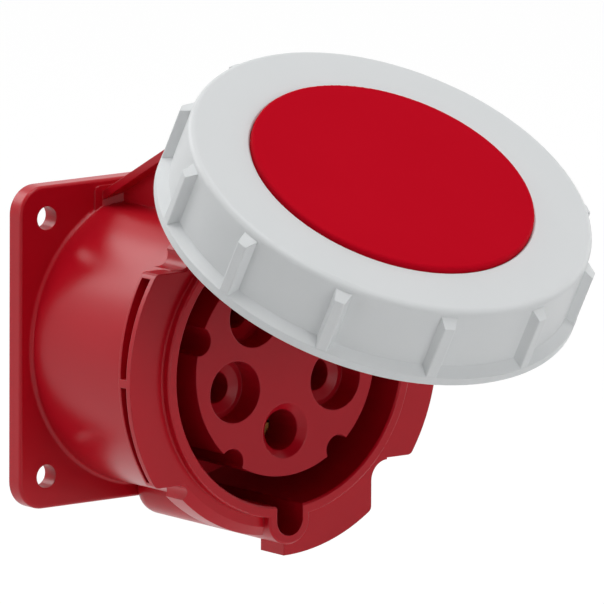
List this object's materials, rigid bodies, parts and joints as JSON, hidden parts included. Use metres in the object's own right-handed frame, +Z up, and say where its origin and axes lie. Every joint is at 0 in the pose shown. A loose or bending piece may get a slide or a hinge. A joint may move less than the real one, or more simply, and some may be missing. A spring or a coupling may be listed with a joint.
{
  "type": "industrial panel socket",
  "caption": "Straight panel socket on a square flange with a round collar, keyed mouth, slotted contacts, and a hinged lid that carries a bayonet locking ring.",
  "frame": {"origin": "centre of the flange's back face, on the socket's axis", "axes": "+X to the right seen from the front, -Y along the socket's axis out of the mouth, +Z up towards the lid's hinge"},
  "size_m": [0.1008, 0.1503, 0.1157],
  "materials": {
    "red_moulding": "semi-gloss moulded plastic",
    "insert_moulding": "semi-gloss moulded plastic",
    "carrier_moulding": "matt moulded plastic",
    "grey_moulding": "satin moulded plastic",
    "contact_brass": "turned",
    "zinc_steel": "zinc plated",
    "spring_steel": "rolled strip",
    "seal_rubber": "matt"
  },
  "bodies": {
    "socket_body": {"housing": "red_moulding", "contact_insert": "insert_moulding", "terminal_carrier": "carrier_moulding", "contact_l1": "contact_brass", "contact_l2": "contact_brass", "contact_l3": "contact_brass", "contact_n": "contact_brass", "contact_pe": "contact_brass", "line_spring_rings": "spring_steel", "pe_spring_ring": "spring_steel", "line_terminal_screws": "zinc_steel", "pe_terminal_screw": "zinc_steel", "carrier_screws": "zinc_steel", "insert_screws": "zinc_steel", "insert_seal": "seal_rubber", "flange_seal": "seal_rubber", "hinge_pin": "zinc_steel"},
    "lid": {"lid_cap": "red_moulding", "lid_gasket": "seal_rubber"},
    "ring": {"bayonet_ring": "grey_moulding"}
  },
  "joints": [
    {"name": "lid_hinge", "type": "hinge", "parent": "socket_body", "child": "lid", "pos_m": [0, -0.0376, 0.0493], "axis": [-1, 0, 0], "range_deg": [-60, 50]},
    {"name": "ring_turn", "type": "hinge", "parent": "lid", "child": "ring", "pos_m": [0, -0.0803, 0.02465], "axis": [0, 0.5, -0.866], "range_deg": [0, 48]}
  ]
}
